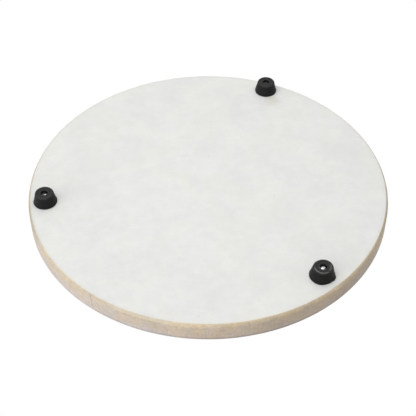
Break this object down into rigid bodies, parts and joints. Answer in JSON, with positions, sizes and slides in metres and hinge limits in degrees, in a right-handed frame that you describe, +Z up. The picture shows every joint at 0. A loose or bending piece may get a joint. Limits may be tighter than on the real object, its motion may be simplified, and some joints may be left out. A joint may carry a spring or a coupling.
{
  "type": "serving board",
  "caption": "Round marble serving board on screwed rubber feet, with rounded rim edges and a flat face for serving food.",
  "frame": {"origin": "centre of the round slab, on the surface that the feet stand on", "axes": "+Z up through the slab to the serving face; +X and +Y in the plane of the slab, with the feet turned 112.8, 228.9 and 351.7 degrees from +X"},
  "size_m": [0.305, 0.305, 0.0283],
  "materials": {
    "marble": "honed underside, polished serving face, waxed cream edge",
    "rubber": "moulded, matt",
    "washer_steel": "plain steel",
    "zinc_plate": "bright zinc plate",
    "nylon": "moulded"
  },
  "bodies": {
    "root": {"marble_slab": "marble", "rubber_foot_1": "rubber", "rubber_foot_2": "rubber", "rubber_foot_3": "rubber", "foot_washer_1": "washer_steel", "foot_washer_2": "washer_steel", "foot_washer_3": "washer_steel", "foot_screw_1": "zinc_plate", "foot_screw_2": "zinc_plate", "foot_screw_3": "zinc_plate", "screw_plug_1": "nylon", "screw_plug_2": "nylon", "screw_plug_3": "nylon"}
  },
  "joints": []
}
